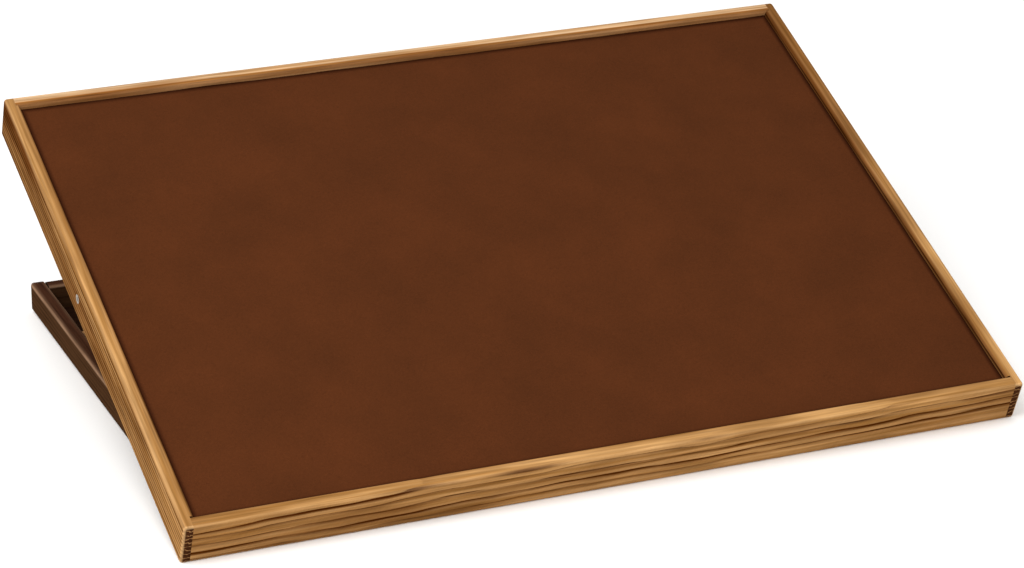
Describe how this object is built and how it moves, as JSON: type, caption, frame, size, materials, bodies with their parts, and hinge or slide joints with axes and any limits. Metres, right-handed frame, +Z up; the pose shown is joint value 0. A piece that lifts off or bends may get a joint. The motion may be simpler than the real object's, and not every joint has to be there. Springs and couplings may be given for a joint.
{
  "type": "folding puzzle table",
  "caption": "Tabletop puzzle table: a felt-lined wooden tray hinged on a low base frame, tilted by a notched support frame and folding flat.",
  "frame": {"origin": "on the floor under the middle of the raised table's outline: halfway between the sides, and halfway between the board's front arris and the back of the base", "axes": "+X to the right of someone sitting at the front edge and along the hinge, +Y from the front to the back, +Z up"},
  "size_m": [0.86, 0.6194, 0.2561],
  "materials": {
    "torched_pine": "flame-scorched pine, brushed and waxed",
    "stained_pine": "pine stained dark walnut brown, waxed",
    "beech_dowel": "turned beech, unfinished",
    "raw_pine": "planed pine, unfinished",
    "stained_plywood": "thin plywood stained dark walnut brown",
    "hardboard": "pressed hardboard, smooth face",
    "wool_felt": "pressed felt, chocolate brown",
    "rubber": "moulded black rubber",
    "brass": "brushed brass",
    "zinc_steel": "bright zinc-plated steel"
  },
  "bodies": {
    "base": {"base_left_rail": "stained_pine", "base_right_rail": "stained_pine", "base_front_rail": "stained_pine", "base_back_rail": "stained_pine", "base_corner_tenons": "beech_dowel", "stop_bar": "beech_dowel", "base_bottom_panel": "stained_plywood", "base_feet": "rubber", "closing_bumpers": "rubber", "hinge_left_lower_leaf": "brass", "hinge_right_lower_leaf": "brass", "hinge_left_pin": "brass", "hinge_right_pin": "brass"},
    "board": {"board_left_rail": "torched_pine", "board_right_rail": "torched_pine", "board_front_rail": "torched_pine", "board_back_rail": "torched_pine", "board_corner_tenons": "beech_dowel", "work_panel": "hardboard", "felt_cover": "wool_felt", "hinge_rail": "raw_pine", "panel_batten_left": "raw_pine", "panel_batten_middle": "raw_pine", "panel_batten_right": "raw_pine", "pivot_rod": "zinc_steel", "pivot_screws": "zinc_steel", "pivot_spacer_left": "zinc_steel", "pivot_spacer_right": "zinc_steel", "hinge_left_upper_leaf": "brass", "hinge_right_upper_leaf": "brass"},
    "support": {"support_arm_left": "stained_pine", "support_arm_right": "stained_pine", "support_tie": "beech_dowel"}
  },
  "joints": [
    {"name": "board_tilt", "type": "hinge", "parent": "base", "child": "board", "pos_m": [0, -0.20128, 0.0327], "axis": [1, 0, 0], "range_deg": [-20.6, 0]},
    {"name": "support_swing", "type": "hinge", "parent": "board", "child": "support", "pos_m": [0, 0.01293, 0.1364], "axis": [1, 0, 0], "range_deg": [0, 51.91]}
  ],
  "couplings": [
    {"joint": "support_swing", "follows": "board_tilt", "ratio": -2.5195}
  ]
}
